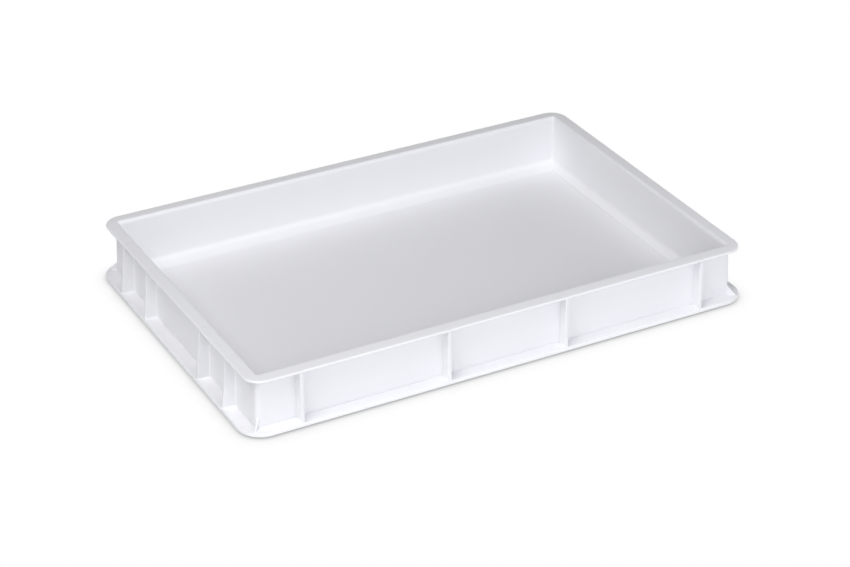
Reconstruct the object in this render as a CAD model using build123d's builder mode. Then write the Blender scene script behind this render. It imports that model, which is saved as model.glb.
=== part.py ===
"""Dough box: an open stacking tray, one polyethylene moulding modelled zone by zone.

Sizes are in millimetres. +X runs along the long sides, +Y from front to back, +Z up.
The origin is under the middle of the tray, on the surface that it stands on.
"""
import os
from math import atan2, degrees, hypot, radians, tan

from build123d import *

os.makedirs("parts", exist_ok=True)

# Outline: the setbacks are from the base flange's edge to the rim's edge
base_length = 600.0
base_width = 400.0
overall_height = 66.5
rim_setback_long = 2.5
rim_setback_short = 6.0
base_corner_radius = 27.0
rim_corner_radius = 20.0

# Walls: the setbacks are from the base flange's edge to the walls' outer faces
wall_setback_long = 14.5
wall_setback_short = 17.5
wall_thickness = 3.5
wall_corner_radius = 5.5

# Plates
floor_thickness = 3.0
flange_thickness = 3.5
flange_edge_radius = 1.5
rim_thickness = 3.3
rim_edge_radius = 0.8
rim_under_radius = 0.4
rim_lip_radius = 3.0

# Sloped bands between the floor and the walls
cove_rise = 4.7
cove_reach_long = 14.0
cove_reach_short = 7.5
cove_blend_radius = 7.0

# Ribs: two beside the grip in the middle of a side, and one near each end of the base
rib_thickness = 3.0
rib_fillet_radius = 0.8
rib_fillet_toe = 0.1
grip_bay = 140.0
end_bay_long = 62.0
end_bay_short = 66.0

# Webs at the wall corners
gusset_thickness = 1.5
gusset_toe = 0.8
corner_gusset_height = 12.0
rim_gusset_height = 6.0

# Underside of the floor: it stands below the flange and drops inside the rim of the box below
foot_depth = 2.0
foot_clearance = 2.0
foot_corner_radius = 4.0

# Half sizes and levels that follow
base_x = base_length / 2
base_y = base_width / 2
rim_x = base_x - rim_setback_short
rim_y = base_y - rim_setback_long
wall_x = base_x - wall_setback_short
wall_y = base_y - wall_setback_long
inner_x = wall_x - wall_thickness
inner_y = wall_y - wall_thickness
inner_corner_radius = wall_corner_radius - wall_thickness
corner_x = wall_x - wall_corner_radius
corner_y = wall_y - wall_corner_radius
foot_x = inner_x - foot_clearance
foot_y = inner_y - foot_clearance
flange_top = foot_depth + flange_thickness
rim_bottom = overall_height - rim_thickness

# The two corners of each side, left one first as seen from outside, as signs of x and y
SIDES = {
    "front": ((-1, -1), (1, -1)),
    "back": ((1, 1), (-1, 1)),
    "left": ((-1, 1), (-1, -1)),
    "right": ((1, -1), (1, 1)),
}


def side_directions(side):
    """Unit vectors along a side, left to right from outside, and outwards from it."""
    (left_x, left_y), (right_x, right_y) = SIDES[side]
    along = Vector(right_x - left_x, right_y - left_y) / 2
    outward = Vector(right_x + left_x, right_y + left_y) / 2
    return along, outward


def by_length(side, on_long, on_short):
    """Pick a size by whether the side is one of the long ones or one of the short ones."""
    return on_long if side in ("front", "back") else on_short


def side_area(side, pivot, run):
    """Plan corners of one side's share of the tray, between mitre lines at its two ends.

    A mitre line passes through the pivot, near a corner, and runs one step in and one step out.
    """
    near_x, near_y = pivot[0] - run[0], pivot[1] - run[1]
    far_x, far_y = pivot[0] + run[0], pivot[1] + run[1]
    (left_x, left_y), (right_x, right_y) = SIDES[side]
    return [
        (left_x * near_x, left_y * near_y),
        (right_x * near_x, right_y * near_y),
        (right_x * far_x, right_y * far_y),
        (left_x * far_x, left_y * far_y),
    ]


def write(builder, name):
    """Label a finished piece and write it under its node's name."""
    builder.part.label = name
    export_step(builder.part, f"parts/{name}.step")


def write_sides(ring, name):
    """Split a ring at 45 degree mitres through the wall corners and write its four sides."""
    mitre_run = base_corner_radius + wall_setback_long + wall_setback_short
    for side in SIDES:
        with BuildPart() as piece:
            add(ring.part)
            with BuildSketch(Plane.XY):
                Polygon(*side_area(side, (corner_x, corner_y), (mitre_run, mitre_run)), align=None)
            extrude(amount=overall_height, mode=Mode.INTERSECT)
        write(piece, f"{name}_{side}")


# Floor: its lower part stands below the flange and is a clearance smaller than the opening of the rim

with BuildPart() as floor_panel:
    with BuildSketch(Plane.XY):
        RectangleRounded(2 * foot_x, 2 * foot_y, foot_corner_radius)
    extrude(amount=foot_depth)
    with BuildSketch(Plane.XY.offset(foot_depth)):
        RectangleRounded(2 * inner_x, 2 * inner_y, inner_corner_radius)
    extrude(amount=floor_thickness - foot_depth)
write(floor_panel, "floor_panel")

# Sloped bands on the floor's edge: a straight slope that turns up into the wall on a blend radius

for side in SIDES:
    along, outward = side_directions(side)
    reach = by_length(side, cove_reach_long, cove_reach_short)
    wall_face = outward * by_length(side, inner_y, inner_x) + Vector(0, 0, floor_thickness)
    slope = atan2(cove_rise, reach)
    turn = radians(90) - slope
    blend = cove_blend_radius * tan(turn / 2)
    blend_share = blend / hypot(reach, cove_rise)
    wall_tangent = (0, cove_rise + blend)
    slope_tangent = (reach * blend_share, cove_rise * (1 - blend_share))
    blend_centre = (cove_blend_radius, cove_rise + blend)
    with BuildPart() as cove:
        with BuildSketch(Plane(origin=wall_face, x_dir=-outward, z_dir=along)):
            with BuildLine():
                Polyline(wall_tangent, (0, 0), (reach, 0), slope_tangent)
                CenterArc(blend_centre, cove_blend_radius, 180, degrees(turn))
            make_face()
        extrude(amount=by_length(side, inner_x, inner_y), both=True)
        with BuildSketch(Plane.XY):
            RectangleRounded(2 * inner_x, 2 * inner_y, inner_corner_radius)
        extrude(amount=overall_height, mode=Mode.INTERSECT)
        with BuildSketch(Plane.XY):
            mitre_run = (cove_reach_short, cove_reach_long)
            Polygon(*side_area(side, (inner_x, inner_y), mitre_run), align=None)
        extrude(amount=overall_height, mode=Mode.INTERSECT)
    write(cove, f"floor_cove_{side}")

# Walls

with BuildPart() as wall_ring:
    with BuildSketch(Plane.XY.offset(foot_depth)):
        RectangleRounded(2 * wall_x, 2 * wall_y, wall_corner_radius)
        RectangleRounded(2 * inner_x, 2 * inner_y, inner_corner_radius, mode=Mode.SUBTRACT)
    extrude(amount=rim_bottom - foot_depth)
write_sides(wall_ring, "wall")

# Rim: its inner edge is rounded over and its outer edges are eased

with BuildPart() as rim_ring:
    with BuildSketch(Plane.XY.offset(rim_bottom)):
        RectangleRounded(2 * rim_x, 2 * rim_y, rim_corner_radius)
        RectangleRounded(2 * inner_x, 2 * inner_y, inner_corner_radius, mode=Mode.SUBTRACT)
    extrude(amount=rim_thickness)
    fillet(rim_ring.faces().sort_by(Axis.Z)[-1].inner_wires()[0].edges(), rim_lip_radius)
    fillet(rim_ring.faces().sort_by(Axis.Z)[-1].outer_wire().edges(), rim_edge_radius)
    fillet(rim_ring.faces().sort_by(Axis.Z)[0].outer_wire().edges(), rim_under_radius)
write_sides(rim_ring, "rim")

# Base flange: its upper outer edge is rounded

with BuildPart() as flange_ring:
    with BuildSketch(Plane.XY.offset(foot_depth)):
        RectangleRounded(2 * base_x, 2 * base_y, base_corner_radius)
        RectangleRounded(2 * wall_x, 2 * wall_y, wall_corner_radius, mode=Mode.SUBTRACT)
    extrude(amount=flange_thickness)
    fillet(flange_ring.faces().sort_by(Axis.Z)[-1].outer_wire().edges(), flange_edge_radius)
write_sides(flange_ring, "base_flange")

# Ribs: upright plates with filleted roots on the flange, the rim and the wall

rib_height = rim_bottom - flange_top
rib_half = rib_thickness / 2
rib_flare = rib_half + rib_fillet_radius
rib_bend = rib_fillet_toe + rib_fillet_radius


def make_rib(seat, along, outward, foot_reach, head_reach):
    """Build one rib on its seat, the point where its middle meets the flange and the wall."""
    up = Vector(0, 0, 1)
    with BuildPart() as rib:
        with BuildSketch(Plane(origin=seat, x_dir=along, z_dir=outward)):
            with BuildLine():
                Polyline((0, 0), (rib_flare, 0), (rib_flare, rib_fillet_toe))
                CenterArc((rib_flare, rib_bend), rib_fillet_radius, 180, 90)
                Line((rib_half, rib_bend), (rib_half, rib_height - rib_bend))
                CenterArc((rib_flare, rib_height - rib_bend), rib_fillet_radius, 90, 90)
                Polyline((rib_flare, rib_height - rib_fillet_toe), (rib_flare, rib_height), (0, rib_height))
                mirror(about=Plane.YZ)
            make_face()
        extrude(amount=max(foot_reach, head_reach))
        with BuildSketch(Plane(origin=seat, x_dir=-along, z_dir=up)):
            with BuildLine():
                Polyline((0, 0), (rib_flare, 0), (rib_flare, rib_fillet_toe))
                CenterArc((rib_flare, rib_bend), rib_fillet_radius, 180, 90)
                Line((rib_half, rib_bend), (0, rib_bend))
                mirror(about=Plane.YZ)
            make_face()
        extrude(amount=rib_height)
        with BuildSketch(Plane(origin=seat, x_dir=outward, z_dir=-along)):
            Polygon((0, 0), (foot_reach, 0), (head_reach, rib_height), (0, rib_height), align=None)
        extrude(amount=rib_flare, both=True, mode=Mode.INTERSECT)
    return rib


for side in SIDES:
    along, outward = side_directions(side)
    wall_setback = by_length(side, wall_setback_long, wall_setback_short)
    foot_reach = wall_setback - flange_edge_radius
    rim_setback = by_length(side, rim_setback_long, rim_setback_short)
    head_reach = wall_setback - rim_setback - rim_edge_radius
    end_place = by_length(side, base_x - end_bay_long, base_y - end_bay_short)
    middle = outward * by_length(side, wall_y, wall_x) + Vector(0, 0, flange_top)
    for number, offset in enumerate((-end_place, -grip_bay / 2, grip_bay / 2, end_place), start=1):
        rib = make_rib(middle + along * offset, along, outward, foot_reach, head_reach)
        write(rib, f"rib_{side}_{number}")

# Webs on the diagonals, between the walls' rounded corners and the flange or the rim


def diagonal_reach(half_x, half_y, radius):
    """Distance along the diagonal from a wall corner's centre to the rounded corner of a plate."""
    centre_x = half_x - radius - corner_x
    centre_y = half_y - radius - corner_y
    on_diagonal = (centre_x + centre_y) / 2**0.5
    off_diagonal = (centre_x - centre_y) / 2**0.5
    return on_diagonal + (radius**2 - off_diagonal**2) ** 0.5


def make_web(signs, level, height, reach):
    """Build a triangular web at one corner: it stands on its level, or hangs from it with a negative height."""
    outward = Vector(*signs).normalized()
    sideways = outward.cross(Vector(0, 0, 1))
    centre = Vector(signs[0] * corner_x, signs[1] * corner_y, level)
    toe = gusset_toe if height > 0 else -gusset_toe
    with BuildPart() as web:
        with BuildSketch(Plane(origin=centre, x_dir=outward, z_dir=sideways)):
            Polygon((0, 0), (reach, 0), (reach, toe), (wall_corner_radius, height), (0, height), align=None)
        extrude(amount=gusset_thickness / 2, both=True)
        with BuildSketch(Plane(origin=centre)):
            Circle(wall_corner_radius)
        extrude(amount=height, mode=Mode.SUBTRACT)
    return web


flange_reach = diagonal_reach(base_x, base_y, base_corner_radius) - flange_edge_radius - gusset_toe
rim_reach = diagonal_reach(rim_x, rim_y, rim_corner_radius) - rim_edge_radius - gusset_toe
CORNERS = {"front_left": (-1, -1), "front_right": (1, -1), "back_right": (1, 1), "back_left": (-1, 1)}

for corner, signs in CORNERS.items():
    corner_gusset = make_web(signs, flange_top, corner_gusset_height, flange_reach)
    write(corner_gusset, f"corner_gusset_{corner}")
    rim_gusset = make_web(signs, rim_bottom, -rim_gusset_height, rim_reach)
    write(rim_gusset, f"rim_gusset_{corner}")
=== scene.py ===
"""Dough box: a white polyethylene stacking tray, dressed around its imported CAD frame."""
from math import asin, atan2, cos, exp, pi, radians, sin, sqrt, tan

import bmesh
import bpy
from mathutils import Matrix, Vector


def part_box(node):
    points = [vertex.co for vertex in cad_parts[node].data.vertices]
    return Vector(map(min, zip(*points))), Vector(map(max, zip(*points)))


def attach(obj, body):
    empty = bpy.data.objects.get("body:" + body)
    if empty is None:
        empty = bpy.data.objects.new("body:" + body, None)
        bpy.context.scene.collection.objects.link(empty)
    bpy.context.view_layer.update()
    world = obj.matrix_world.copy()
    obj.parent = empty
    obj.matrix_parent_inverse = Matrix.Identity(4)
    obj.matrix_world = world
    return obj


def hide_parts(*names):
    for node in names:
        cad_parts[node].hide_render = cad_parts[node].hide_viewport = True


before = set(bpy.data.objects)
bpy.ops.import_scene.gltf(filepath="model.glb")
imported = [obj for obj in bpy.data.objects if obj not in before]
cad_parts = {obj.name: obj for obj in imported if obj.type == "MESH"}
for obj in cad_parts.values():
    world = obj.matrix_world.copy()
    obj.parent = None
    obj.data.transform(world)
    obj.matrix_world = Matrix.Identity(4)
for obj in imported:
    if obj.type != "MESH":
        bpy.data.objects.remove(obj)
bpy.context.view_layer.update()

# Floor of the tray: the flat bottom of a single injection moulding in white food-grade
# polyethylene. Below the flange it is a plug that drops inside the rim of the tray beneath,
# and its upper face falls off a little towards the crease where the sloped bands begin.

mm = 0.001
floor_low, floor_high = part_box("floor_panel")
inner_x = floor_high.x
inner_y = floor_high.y
inner_radius = 2 * mm
flange_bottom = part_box("base_flange_front")[0].z
plug_clearance = 2 * mm
plug_radius = 4 * mm
plug_outline = (inner_x - plug_clearance, inner_y - plug_clearance, plug_radius)
plug_ease = 0.8 * mm
ease_steps = 3
band_reach_long = inner_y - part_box("floor_cove_back")[0].y
band_reach_short = inner_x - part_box("floor_cove_right")[0].x
crease_radius = 1.5 * mm
crease_drop = 0.3 * mm
# Distances in from the crease, each with the share of the drop that is left there.
crease_falls = ((0, 1.0), (1.2 * mm, 0.8), (2.5 * mm, 0.4), (4 * mm, 0.1), (6 * mm, 0.0))


def middle(node):
    """Middle of a CAD node's box."""
    low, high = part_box(node)
    return (low + high) / 2


RIB_NUMBERS = (1, 2, 3, 4)
rib_places_long = sorted(middle(f"rib_front_{number}").x for number in RIB_NUMBERS)
rib_places_short = sorted(middle(f"rib_right_{number}").y for number in RIB_NUMBERS)
rib_surroundings = [offset * mm for offset in (-9, -6, -4, -2.5, -1.2, 0, 1.2, 2.5, 4, 6, 9)]
sink_width = 2.4 * mm
corner_steps = 10


def trace(half_x, half_y, radius, level, short_level=None, sink=0.0, drop=0.0):
    """Points round a rounded rectangle, more of them behind the ribs.

    The short sides may run at a level of their own. Behind each rib, where thick plastic shrinks
    as it cools, the line may sink outwards and drop by small depths.
    """
    if short_level is None:
        short_level = level
    points = []
    for turn in range(4):
        on_long = turn % 2 == 0
        flat = half_x - radius if on_long else half_y - radius
        reach = half_y if on_long else half_x
        here, beyond = (level, short_level) if on_long else (short_level, level)
        rib_places = rib_places_long if on_long else rib_places_short
        columns = [rib + offset for rib in rib_places for offset in rib_surroundings]
        quarter = Matrix.Rotation(turn * pi / 2, 3, "Z")
        for place in [-flat, *columns, flat]:
            hollow = sum(exp(-(((place - rib) / sink_width) ** 2)) for rib in rib_places)
            points.append(quarter @ Vector((place, -reach - sink * hollow, here - drop * hollow)))
        for step in range(1, corner_steps):
            share = step / corner_steps
            along = flat + radius * sin(share * pi / 2)
            across = -reach + radius - radius * cos(share * pi / 2)
            points.append(quarter @ Vector((along, across, here + (beyond - here) * share)))
    return points


def inset(outline, inward, level, drop=0.0):
    """A line inside an outline, which is a half length, a half width and a corner radius."""
    half_x, half_y, radius = (size - inward for size in outline)
    return trace(half_x, half_y, radius, level, drop=drop)


def round_over(radius, steps):
    """Offsets (in from the face, away from the level) of a rounded edge, from the face to the level."""
    angles = [pi / 2 * step / steps for step in range(steps + 1)]
    return [(radius * (1 - cos(angle)), radius * (1 - sin(angle))) for angle in angles]


def loft(loops, capped=False):
    """Skin over loops of equally many points: capped at both ends, or closed into a ring."""
    count = len(loops[0])
    points = [point for loop in loops for point in loop]
    faces = []
    for row in range(len(loops) - 1 if capped else len(loops)):
        this, above = row * count, (row + 1) % len(loops) * count
        for column in range(count):
            beside = (column + 1) % count
            faces.append((this + column, this + beside, above + beside, above + column))
    if capped:
        faces.append(tuple(range(count)))
        faces.append(tuple(range(len(points) - count, len(points))))
    return points, faces


class Wire:
    """An output of a node. Sums, products and numbers less a wire add Math nodes."""

    def __init__(self, tree, socket):
        self.tree = tree
        self.socket = socket

    @classmethod
    def node(cls, tree, kind, settings, inputs, output=0):
        """Add a node: its settings first, then the values or links of its sockets."""
        added = tree.nodes.new(kind)
        for name, value in settings.items():
            setattr(added, name, value)
        for name, value in inputs.items():
            if isinstance(value, cls):
                tree.links.new(value.socket, added.inputs[name])
            else:
                added.inputs[name].default_value = value
        return cls(tree, added.outputs[output]) if added.outputs else None

    def maths(self, operation, left, right):
        """Add a Math node on two wires or numbers."""
        return Wire.node(self.tree, "ShaderNodeMath", {"operation": operation}, {0: left, 1: right})

    def __add__(self, other):
        return self.maths("ADD", self, other)

    def __rsub__(self, other):
        return self.maths("SUBTRACT", other, self)

    def __mul__(self, other):
        return self.maths("MULTIPLY", self, other)

    __radd__ = __add__
    __rmul__ = __mul__


def empty_tree(owner):
    """Node tree of a material or a world, cleared of its first nodes."""
    owner.use_nodes = True
    owner.node_tree.nodes.clear()
    return owner.node_tree


dense_white = (0.862, 0.866, 0.878, 1)
clear_white = (0.878, 0.882, 0.894, 1)
clouds_per_metre = 9.0
waves_per_metre = 34.0
grains_per_metre = 2600.0
satin_roughness = 0.36
cloud_roughness = 0.08
grain_roughness = 0.06
wave_height = 0.02
grain_height = 0.006
bump_strength = 0.6
polyethylene_ior = 1.5


def moulded_polyethylene():
    """White polyethylene: faint flow clouds, a satin gloss that varies a little and a fine mould grain."""
    material = bpy.data.materials.new("moulded_polyethylene")
    tree = empty_tree(material)
    place = Wire.node(tree, "ShaderNodeTexCoord", {}, {}, "Object")

    def noise(scale, detail):
        inputs = {"Vector": place, "Scale": scale, "Detail": detail}
        return Wire.node(tree, "ShaderNodeTexNoise", {}, inputs)

    clouds = noise(clouds_per_metre, detail=2.0)
    waves = noise(waves_per_metre, detail=1.0)
    grain = noise(grains_per_metre, detail=2.0)
    colour = Wire.node(
        tree, "ShaderNodeMix", {"data_type": "RGBA"},
        {"Factor": clouds, "A": dense_white, "B": clear_white}, "Result",
    )
    roughness = satin_roughness + cloud_roughness * clouds + grain_roughness * grain
    height = wave_height * waves + grain_height * grain
    bump = Wire.node(
        tree, "ShaderNodeBump", {}, {"Height": height, "Distance": mm, "Strength": bump_strength}
    )
    surface = Wire.node(
        tree, "ShaderNodeBsdfPrincipled", {},
        {"Base Color": colour, "Roughness": roughness, "Normal": bump, "IOR": polyethylene_ior},
    )
    Wire.node(tree, "ShaderNodeOutputMaterial", {}, {"Surface": surface})
    return material


def put_in_scene(name, data):
    """A new object with this mesh, lamp or camera."""
    added = bpy.data.objects.new(name, data)
    bpy.context.collection.objects.link(added)
    return added


polyethylene = moulded_polyethylene()
sharp_from = radians(38)


def mould(name, skin, *nodes):
    """Make a piece of the moulding from points and faces, to stand for some CAD nodes."""
    points, faces = skin
    mesh = bpy.data.meshes.new(name)
    mesh.from_pydata(points, [], faces)
    shape = bmesh.new()
    shape.from_mesh(mesh)
    bmesh.ops.recalc_face_normals(shape, faces=shape.faces)
    shape.to_mesh(mesh)
    shape.free()
    mesh.shade_smooth()
    mesh.set_sharp_from_angle(angle=sharp_from)
    mesh.materials.append(polyethylene)
    piece = put_in_scene(name, mesh)
    even = piece.modifiers.new("even_shading", "WEIGHTED_NORMAL")
    even.keep_sharp = True
    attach(piece, "root")
    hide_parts(*nodes)


def crease_loop(inward, level):
    """A line on the floor at some distance inside the foot of the sloped bands."""
    half_x = inner_x - band_reach_short - inward
    half_y = inner_y - band_reach_long - inward
    return trace(half_x, half_y, crease_radius, level)


crease_level = floor_high.z - crease_drop
floor_loops = []
for inward, up in reversed(round_over(plug_ease, ease_steps)):
    floor_loops.append(inset(plug_outline, inward, floor_low.z + up))
floor_loops.append(inset(plug_outline, 0, flange_bottom))
floor_loops.append(trace(inner_x, inner_y, inner_radius, flange_bottom))
floor_loops.append(trace(inner_x, inner_y, inner_radius, crease_level))
for inward, fall in crease_falls:
    floor_loops.append(crease_loop(inward, floor_high.z - crease_drop * fall))
mould("tray_floor", loft(floor_loops, capped=True), "floor_panel")

# Sloped bands round the floor: they lead from the floor up to the foot of the walls, so that
# dough lifts out cleanly. They are part of the same moulding and turn up into the walls on a
# blend radius.

SIDES = ("front", "back", "left", "right")
band_rise = 4.7 * mm
band_blend = 7 * mm
band_steps = 12


def band_profile(reach):
    """Offsets (in from the wall, up from the crease) of a band, from its foot to its top on the wall."""
    rise = band_rise + crease_drop
    turn = pi / 2 - atan2(rise, reach)
    tangent = band_blend * tan(turn / 2)
    profile = [(reach, 0.0)]
    for step in range(band_steps + 1):
        angle = turn * (1 - step / band_steps)
        profile.append((band_blend * (1 - cos(angle)), rise + tangent - band_blend * sin(angle)))
    return profile


band_loops = []
profiles = zip(band_profile(band_reach_long), band_profile(band_reach_short))
for step, ((off_long, up_long), (off_short, up_short)) in enumerate(profiles):
    share = step / (band_steps + 1)
    radius = crease_radius + (inner_radius - crease_radius) * share
    level_long, level_short = crease_level + up_long, crease_level + up_short
    band_loops.append(trace(inner_x - off_short, inner_y - off_long, radius, level_long, level_short))
band_loops.append(trace(inner_x, inner_y, inner_radius, crease_level))
mould("floor_bands", loft(band_loops), *(f"floor_cove_{side}" for side in SIDES))

# Walls: upright, with rounded corners, moulded in one with the rest. Outside, the end walls thicken
# towards the foot, all walls draw in a little just above the flange, and a small fillet runs into
# the rim. Inside, they curve out into the rim's lip, with faint sink marks where the ribs stand.

wall_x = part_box("wall_right")[1].x
wall_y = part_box("wall_back")[1].y
wall_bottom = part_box("wall_back")[0].z
wall_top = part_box("wall_back")[1].z
wall_radius = inner_radius + wall_x - inner_x
flange_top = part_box("base_flange_front")[1].z
rim_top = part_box("rim_back")[1].z
end_wall_spread = 2.4 * mm
foot_draw = 0.8 * mm
foot_draw_height = 2 * mm
foot_draw_top = flange_top + foot_draw_height
draw_edge = 0.3 * mm
head_fillet = 0.8 * mm
head_toe = 0.04 * mm
fillet_steps = 6
sink_depth = 0.16 * mm
rim_sink_depth = 0.35 * mm
lip_width = 3 * mm
lip_depth = 5 * mm
lip_corner_growth = 0.4
# The angle at which the lip's curve passes from the walls to the rim, and the walls' lines as shares of it.
lip_split = asin(1 - (rim_top - wall_top) / lip_depth)
lip_shares = (1, 0.67, 0.33, 0)


def fillet_arc(radius, steps=fillet_steps):
    """Offsets (out, up) of a hollow fillet, from its toe on the plate to its end on the wall."""
    angles = [pi / 2 * step / steps for step in range(steps + 1)]
    return [(radius * (1 - sin(angle)), radius * (1 - cos(angle))) for angle in angles]


def wall_loop(out, level):
    """A line round the outside of the walls. The end walls stand out from the head down to the foot."""
    spread = end_wall_spread * (wall_top - level) / (wall_top - flange_top)
    return trace(wall_x + spread + out, wall_y + out, wall_radius + out, level)


def lip_loop(angle):
    """A line round the lip, where the inner wall curves out into the rim, from 0 to pi / 2."""
    out = lip_width * (1 - cos(angle))
    level = rim_top - lip_depth * (1 - sin(angle))
    share = out / lip_width
    return trace(
        inner_x + out, inner_y + out, inner_radius + lip_corner_growth * out, level,
        sink=sink_depth * (1 - share), drop=rim_sink_depth * share,
    )


wall_loops = [
    wall_loop(-foot_draw, wall_bottom),
    wall_loop(-foot_draw, flange_top - draw_edge),
    wall_loop(-foot_draw, flange_top),
    wall_loop(0, foot_draw_top),
    wall_loop(0, foot_draw_top + draw_edge),
    *(wall_loop(out, wall_top - head_toe - up) for out, up in reversed(fillet_arc(head_fillet))),
    wall_loop(head_fillet, wall_top),
    *(lip_loop(lip_split * share) for share in lip_shares),
    trace(inner_x, inner_y, inner_radius, wall_bottom, sink=sink_depth),
]
mould("tray_walls", loft(wall_loops), *(f"wall_{side}" for side in SIDES))

# Rim: a flange round the top of the same moulding, rounded over towards the inside, slightly
# crowned so that it falls towards its outer edge, and rounded there too. Faint sink marks cross
# it above the ribs.

rim_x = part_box("rim_right")[1].x
rim_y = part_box("rim_back")[1].y
rim_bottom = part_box("rim_back")[0].z
rim_radius = 20 * mm
rim_outline = (rim_x, rim_y, rim_radius)
rim_fall = 0.6 * mm
even_fall_share = 0.4
rim_ease = 1.5 * mm
rim_under_ease = 0.4 * mm
crown_steps = 6
lip_steps = 8


def crown_loop(share):
    """A line along the rim's top, from the lip at 0 to the start of the outer edge's rounding at 1.

    A share of the fall is even, and the rest grows towards the edge.
    """
    lip_x, lip_y = inner_x + lip_width, inner_y + lip_width
    lip_radius = inner_radius + lip_corner_growth * lip_width
    edge_x, edge_y, edge_radius = (size - rim_ease for size in rim_outline)
    fall = rim_fall * (even_fall_share * share + (1 - even_fall_share) * share**2)
    return trace(
        lip_x + (edge_x - lip_x) * share, lip_y + (edge_y - lip_y) * share,
        lip_radius + (edge_radius - lip_radius) * share, rim_top - fall, drop=rim_sink_depth,
    )


rim_loops = [lip_loop(lip_split + (pi / 2 - lip_split) * step / lip_steps) for step in range(lip_steps + 1)]
rim_loops += [crown_loop(step / crown_steps) for step in range(1, crown_steps)]
for inward, down in reversed(round_over(rim_ease, fillet_steps)):
    drop = rim_sink_depth * inward / rim_ease
    rim_loops.append(inset(rim_outline, inward, rim_top - rim_fall - down, drop))
for inward, up in round_over(rim_under_ease, ease_steps):
    rim_loops.append(inset(rim_outline, inward, rim_bottom + up))
mould("tray_rim", loft(rim_loops), *(f"rim_{side}" for side in SIDES))

# Base flange: a flat flange round the foot of the walls, of the same moulding. Its upper outer
# edge is rounded, and it stands a little clear of the table.

base_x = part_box("base_flange_right")[1].x
base_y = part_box("base_flange_back")[1].y
base_radius = 27 * mm
base_outline = (base_x, base_y, base_radius)
flange_round = 1.5 * mm
flange_ease = 0.3 * mm
flange_bury = 1.2 * mm

flange_loops = [wall_loop(-flange_bury, flange_bottom), wall_loop(-flange_bury, flange_top)]
for inward, down in reversed(round_over(flange_round, fillet_steps)):
    flange_loops.append(inset(base_outline, inward, flange_top - down))
for inward, up in round_over(flange_ease, ease_steps):
    flange_loops.append(inset(base_outline, inward, flange_bottom + up))
mould("base_flange", loft(flange_loops), *(f"base_flange_{side}" for side in SIDES))

# Ribs: upright plates of the same moulding between flange and rim. They end at the flange's
# rounded edge below and at the rim's edge above, and hollow fillets carry them into the plates
# and the wall.

rib_half = 1.5 * mm
rib_fillet = 0.8 * mm
rib_edge = 0.25 * mm
rib_head_setback = 0.8 * mm
web_bury = 1.2 * mm
edge_steps = 3


def flare(distance, radius):
    """How much a hollow fillet widens a web at some distance from the surface that it grows from."""
    if distance >= radius:
        return 0.0
    return radius - sqrt(radius**2 - (radius - max(distance, 0)) ** 2)


def stitch(left, right):
    """Join two facing grids of points into one closed skin."""
    rows, columns = len(left), len(left[0])
    points = [point for grid in (left, right) for line in grid for point in line]
    far = rows * columns
    faces = []
    for row in range(rows - 1):
        for column in range(columns - 1):
            first = row * columns + column
            quad = (first, first + 1, first + columns + 1, first + columns)
            faces += [quad, tuple(far + corner for corner in reversed(quad))]
    border = [(0, column) for column in range(columns)]
    border += [(row, columns - 1) for row in range(1, rows)]
    border += [(rows - 1, column) for column in range(columns - 2, -1, -1)]
    border += [(row, 0) for row in range(rows - 2, 0, -1)]
    for (row, column), (next_row, next_column) in zip(border, border[1:] + border[:1]):
        first, second = row * columns + column, next_row * columns + next_column
        faces.append((second, first, first + far, second + far))
    return points, faces


def web(seat, outward, up, height, foot_reach, head_reach, half, radius, edge, has_head, spread=0.0):
    """Skin of an upright web that stands on its seat against a wall and ends in a rounded edge.

    The wall may stand out by a spread at the web's foot. A web with a head has fillets there too.
    """
    along = outward.cross(up)
    arc = [radius * (1 - cos(pi / 2 * step / fillet_steps)) for step in range(fillet_steps + 1)]
    rises = [-web_bury, *arc, height / 2]
    if has_head:
        rises += [height - rise for rise in reversed(arc)] + [height + web_bury]
    else:
        rises.append(height)
    sheets = ([], [])
    for rise in rises:
        share = min(max(rise / height, 0), 1)
        reach = foot_reach + (head_reach - foot_reach) * share
        wall_here = spread * (1 - share)
        wall_outs = [wall_here + step for step in (-web_bury, *arc)]
        edge_outs = [reach - edge * (1 - sin(pi / 2 * step / edge_steps)) for step in range(edge_steps + 1)]
        to_head = height - rise if has_head else radius
        lines = ([], [])
        for out in wall_outs + edge_outs:
            out = min(out, reach)
            wide = half + max(flare(out - wall_here, radius), flare(rise, radius), flare(to_head, radius))
            lean = max(out - reach + edge, 0) / edge
            wide -= edge * (1 - sqrt(max(1 - lean**2, 0)))
            for side, line in zip((-1, 1), lines):
                line.append(seat + outward * out + up * rise + along * (side * wide))
        for sheet, line in zip(sheets, lines):
            sheet.append(line)
    return stitch(*sheets)


upright = Vector((0, 0, 1))
OUTWARD = {
    "front": Vector((0, -1, 0)),
    "back": Vector((0, 1, 0)),
    "left": Vector((-1, 0, 0)),
    "right": Vector((1, 0, 0)),
}
for side, outward in OUTWARD.items():
    on_long = side in ("front", "back")
    wall_reach = wall_y if on_long else wall_x
    foot_reach = (base_y if on_long else base_x) - wall_reach - flange_round
    head_reach = (rim_y if on_long else rim_x) - wall_reach - rib_head_setback
    for number in RIB_NUMBERS:
        node = f"rib_{side}_{number}"
        along_side = middle(node) - outward * middle(node).dot(outward)
        seat = Vector((along_side.x, along_side.y, flange_top)) + outward * wall_reach
        skin = web(
            seat, outward, upright, wall_top - flange_top, foot_reach, head_reach,
            rib_half, rib_fillet, rib_edge, has_head=True, spread=0 if on_long else end_wall_spread,
        )
        mould(f"side_{node}", skin, node)

# Corner webs: thin triangular webs of the same moulding on the diagonals, which stiffen the
# flange below, and smaller ones under the rim.

gusset_half = 0.75 * mm
gusset_fillet = 0.5 * mm
gusset_edge = 0.25 * mm
gusset_tip = 0.3 * mm
CORNERS = {"front_left": (-1, -1), "front_right": (1, -1), "back_right": (1, 1), "back_left": (-1, 1)}

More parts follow.
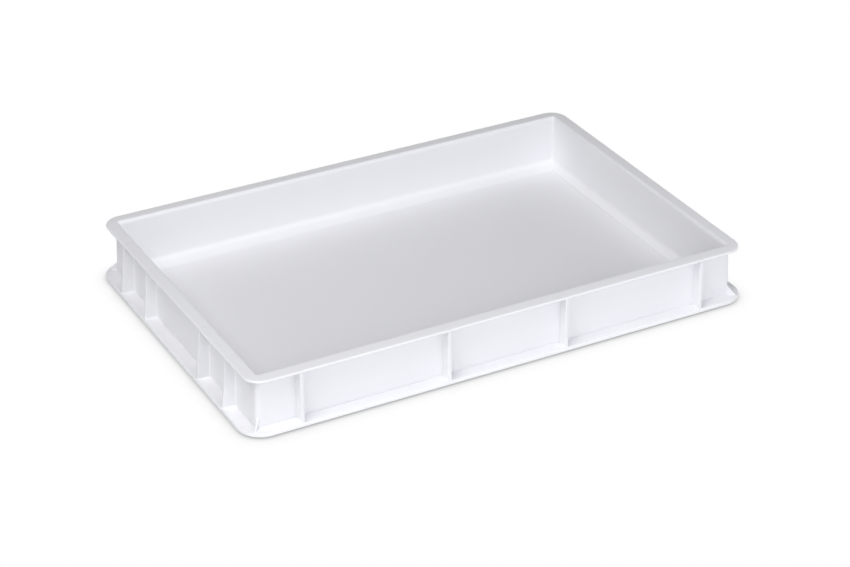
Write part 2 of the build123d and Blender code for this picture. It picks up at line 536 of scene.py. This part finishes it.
for corner, (sign_x, sign_y) in CORNERS.items():
    arc_centre = Vector((sign_x * (wall_x - wall_radius), sign_y * (wall_y - wall_radius), 0))
    diagonal = Vector((sign_x, sign_y, 0)).normalized()
    for kind, level, up in (("corner_gusset", flange_top, upright), ("rim_gusset", rim_bottom, -upright)):
        node = f"{kind}_{corner}"
        low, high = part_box(node)
        far_end = Vector((high.x if sign_x > 0 else low.x, high.y if sign_y > 0 else low.y, 0))
        reach = (far_end - arc_centre).dot(diagonal) - wall_radius - gusset_half
        seat = arc_centre + diagonal * wall_radius + upright * level
        skin = web(
            seat, diagonal, up, high.z - low.z, reach, gusset_tip,
            gusset_half, gusset_fillet, gusset_edge, has_head=False,
        )
        mould(f"moulded_{node}", skin, node)

# Studio: a white paper floor under the tray. To the camera it reads as plain white that darkens
# only where the tray stands close above it, and to the tray it is a pale diffuse surface.

studio_half = 8.0
shadow_reach = 0.018
shadow_depth = 0.64
shadow_samples = 16
pure_white = (1, 1, 1, 1)
paper_white = (0.95, 0.95, 0.95, 1)


def seen_directly(tree):
    """1 for the camera and for mirror-like views of a surface, 0 where the surface only sends light on."""
    camera_ray, glossy_ray, through_ray = (
        Wire.node(tree, "ShaderNodeLightPath", {}, {}, f"Is {kind} Ray")
        for kind in ("Camera", "Glossy", "Transmission")
    )
    return camera_ray + glossy_ray + through_ray


studio = bpy.data.meshes.new("studio_floor")
studio_corners = [(sign_x * studio_half, sign_y * studio_half, 0) for sign_x, sign_y in CORNERS.values()]
studio.from_pydata(studio_corners, [], [(0, 1, 2, 3)])
studio_floor = put_in_scene("studio_floor", studio)
paper = bpy.data.materials.new("white_paper")
paper_tree = empty_tree(paper)
openness = Wire.node(
    paper_tree, "ShaderNodeAmbientOcclusion", {"samples": shadow_samples}, {"Distance": shadow_reach}, "AO"
)
shade = 1 - shadow_depth * (1 - openness)
white = Wire.node(paper_tree, "ShaderNodeEmission", {}, {"Color": pure_white, "Strength": shade})
lit = Wire.node(paper_tree, "ShaderNodeBsdfDiffuse", {}, {"Color": paper_white})
shown = Wire.node(paper_tree, "ShaderNodeMixShader", {}, {0: seen_directly(paper_tree), 1: lit, 2: white})
Wire.node(paper_tree, "ShaderNodeOutputMaterial", {}, {"Surface": shown})
studio.materials.append(paper)

# Light: a pale room that reads as white, and five large soft boxes that face the tray. Two stand
# on the left, one high and one low, two in front and one on the right.

room_level = 0.055
pale_room = bpy.data.worlds.new("pale_room")
bpy.context.scene.world = pale_room
room_tree = empty_tree(pale_room)
room_light = room_level + (1 - room_level) * seen_directly(room_tree)
room = Wire.node(room_tree, "ShaderNodeBackground", {}, {"Color": pure_white, "Strength": room_light})
Wire.node(room_tree, "ShaderNodeOutputWorld", {}, {"Surface": room})

lamp_spread = 0.55
far_stand = 2.2
near_stand = 1.4
plain_white = (0.996, 0.985, 1.006)
cool_white = (0.975, 0.983, 1.042)
tray_middle = Vector((0, 0, 0.03))


def soft_box(name, azimuth, elevation, distance, power, colour):
    """A square soft box that faces the tray, placed by the direction that its light comes from."""
    lamp = bpy.data.lights.new(name, "AREA")
    lamp.size = lamp_spread * distance
    lamp.energy = power
    lamp.color = colour
    box = put_in_scene(name, lamp)
    aside, up = radians(azimuth), radians(elevation)
    towards = Vector((sin(aside) * cos(up), -cos(aside) * cos(up), sin(up)))
    box.location = distance * towards
    box.rotation_euler = (tray_middle - box.location).to_track_quat("-Z", "Y").to_euler()


soft_box("high_left_soft_box", azimuth=-60, elevation=55, distance=far_stand, power=25.4, colour=plain_white)
soft_box("low_left_soft_box", azimuth=-60, elevation=15, distance=far_stand, power=6.3, colour=cool_white)
soft_box("front_soft_box", azimuth=0, elevation=30, distance=far_stand, power=16.2, colour=cool_white)
soft_box("front_right_soft_box", azimuth=30, elevation=18, distance=near_stand, power=1.9, colour=cool_white)
soft_box("right_soft_box", azimuth=90, elevation=15, distance=far_stand, power=6.5, colour=cool_white)

# Camera: a long lens at the photograph's angle, from the front left and above, rolled by a
# fraction of a degree. Colours are shown as they are, with no film look.

camera_place = (-1.109574, -2.090529, 1.340601)
camera_azimuth = radians(-28.1)
camera_elevation = radians(29.47)
camera_roll = radians(-0.28)
lens_length = 104.2
sensor_width = 36
camera = put_in_scene("camera", bpy.data.cameras.new("camera"))
camera.data.lens = lens_length
camera.data.sensor_width = sensor_width
turn = Matrix.Rotation(camera_azimuth, 4, "Z") @ Matrix.Rotation(pi / 2 - camera_elevation, 4, "X")
camera.matrix_world = Matrix.Translation(camera_place) @ turn @ Matrix.Rotation(camera_roll, 4, "Z")
bpy.context.scene.camera = camera
bpy.context.scene.view_settings.view_transform = "Standard"
